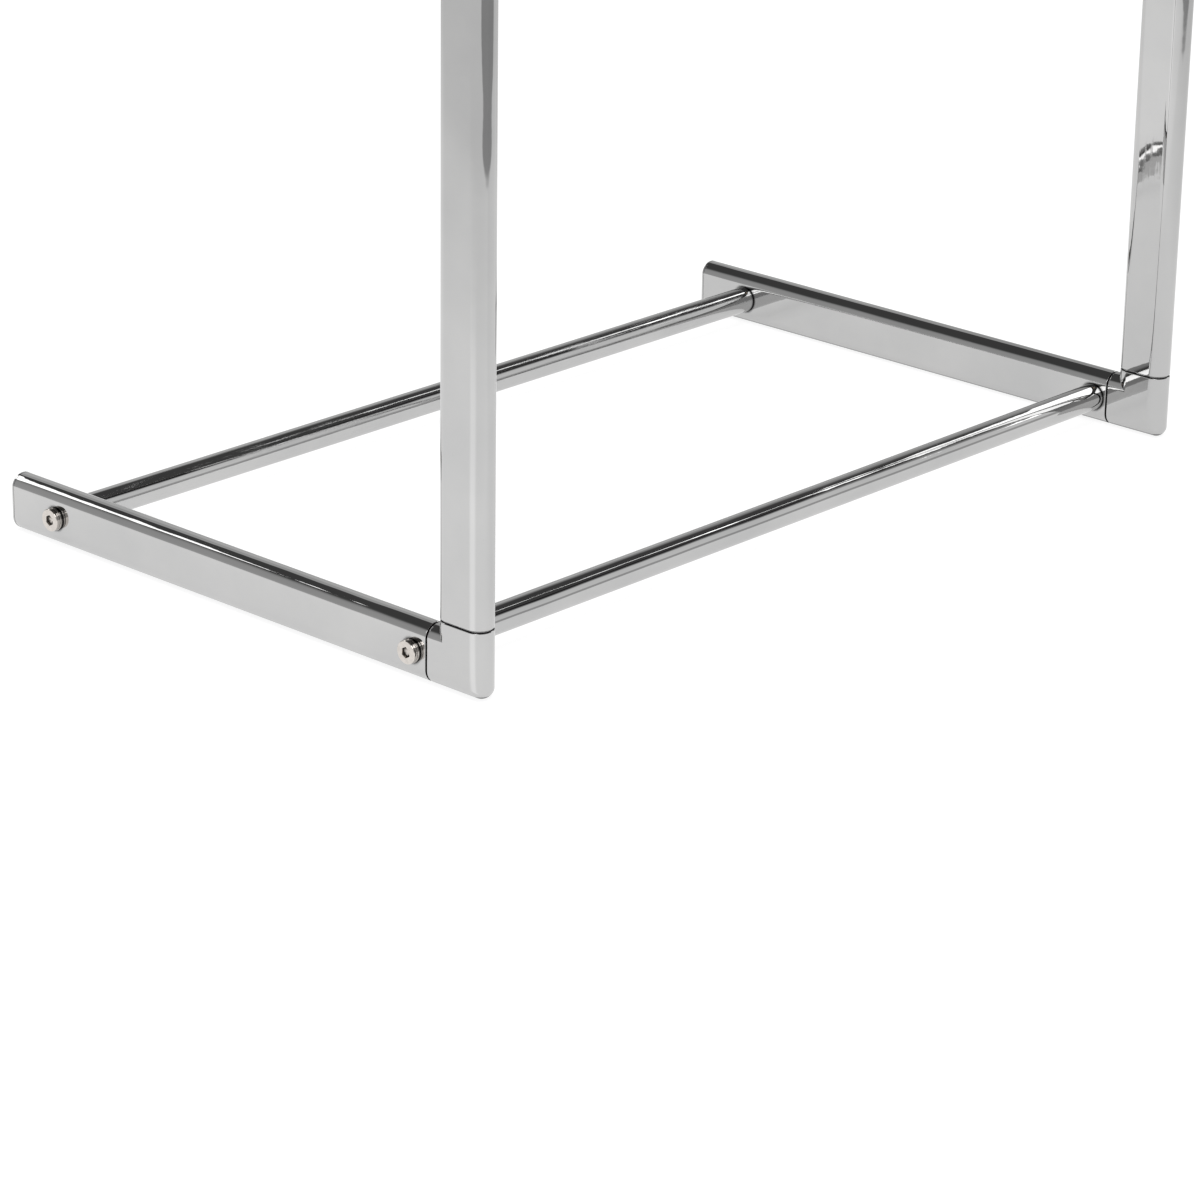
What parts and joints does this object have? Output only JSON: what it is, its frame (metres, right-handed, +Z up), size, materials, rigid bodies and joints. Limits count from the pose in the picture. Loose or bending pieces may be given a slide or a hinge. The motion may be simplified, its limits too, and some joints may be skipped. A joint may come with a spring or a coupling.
{
  "type": "valet stand",
  "caption": "Chromed flat-oval tube valet stand: two C-shaped side frames with round crossbars, a shallow wooden tray, a trouser bar and a contoured jacket hanger.",
  "frame": {"origin": "on the floor under the middle of the stand's width and depth", "axes": "+Z up; +Y from the uprights towards the open ends of the feet; +X to the right when looking along +Y"},
  "size_m": [0.558, 0.335, 1.0775],
  "materials": {
    "tube_chrome": "mirror-bright chrome plate on drawn steel tube",
    "cast_chrome": "bright chrome plate on a smooth casting",
    "cap_chrome": "bright chrome plate",
    "turned_chrome": "bright chrome plate on turned steel",
    "nickel_plate": "nickel plate, slightly warm, with turning marks",
    "zinc_plated_steel": "zinc plate",
    "brass": "plain",
    "walnut": "satin lacquer over dark walnut",
    "tray_board": "walnut-veneered board",
    "felt": "dense wool felt"
  },
  "bodies": {
    "root": {"bar_screws": "nickel_plate", "bar_thread_plugs": "zinc_plated_steel", "bar_washers": "nickel_plate", "base_front_bar": "tube_chrome", "base_rear_bar": "tube_chrome", "hanger_body": "walnut", "hanger_ferrule": "turned_chrome", "hanger_insert": "brass", "hanger_stem": "turned_chrome", "left_arm": "tube_chrome", "left_arm_cap": "cap_chrome", "left_base_elbow": "cast_chrome", "left_foot": "tube_chrome", "left_foot_cap": "cap_chrome", "left_top_elbow": "cast_chrome", "left_upright": "tube_chrome", "right_arm": "tube_chrome", "right_arm_cap": "cap_chrome", "right_base_elbow": "cast_chrome", "right_foot": "tube_chrome", "right_foot_cap": "cap_chrome", "right_top_elbow": "cast_chrome", "right_upright": "tube_chrome", "stem_saddle": "turned_chrome", "stem_screw": "nickel_plate", "top_front_bar": "tube_chrome", "top_middle_bar": "tube_chrome", "top_rear_bar": "tube_chrome", "tray_floor": "tray_board", "tray_front_rail": "walnut", "tray_left_rail": "walnut", "tray_liner": "felt", "tray_rear_rail": "walnut", "tray_right_rail": "walnut", "tray_screws": "nickel_plate", "trouser_bar": "tube_chrome"}
  },
  "joints": []
}
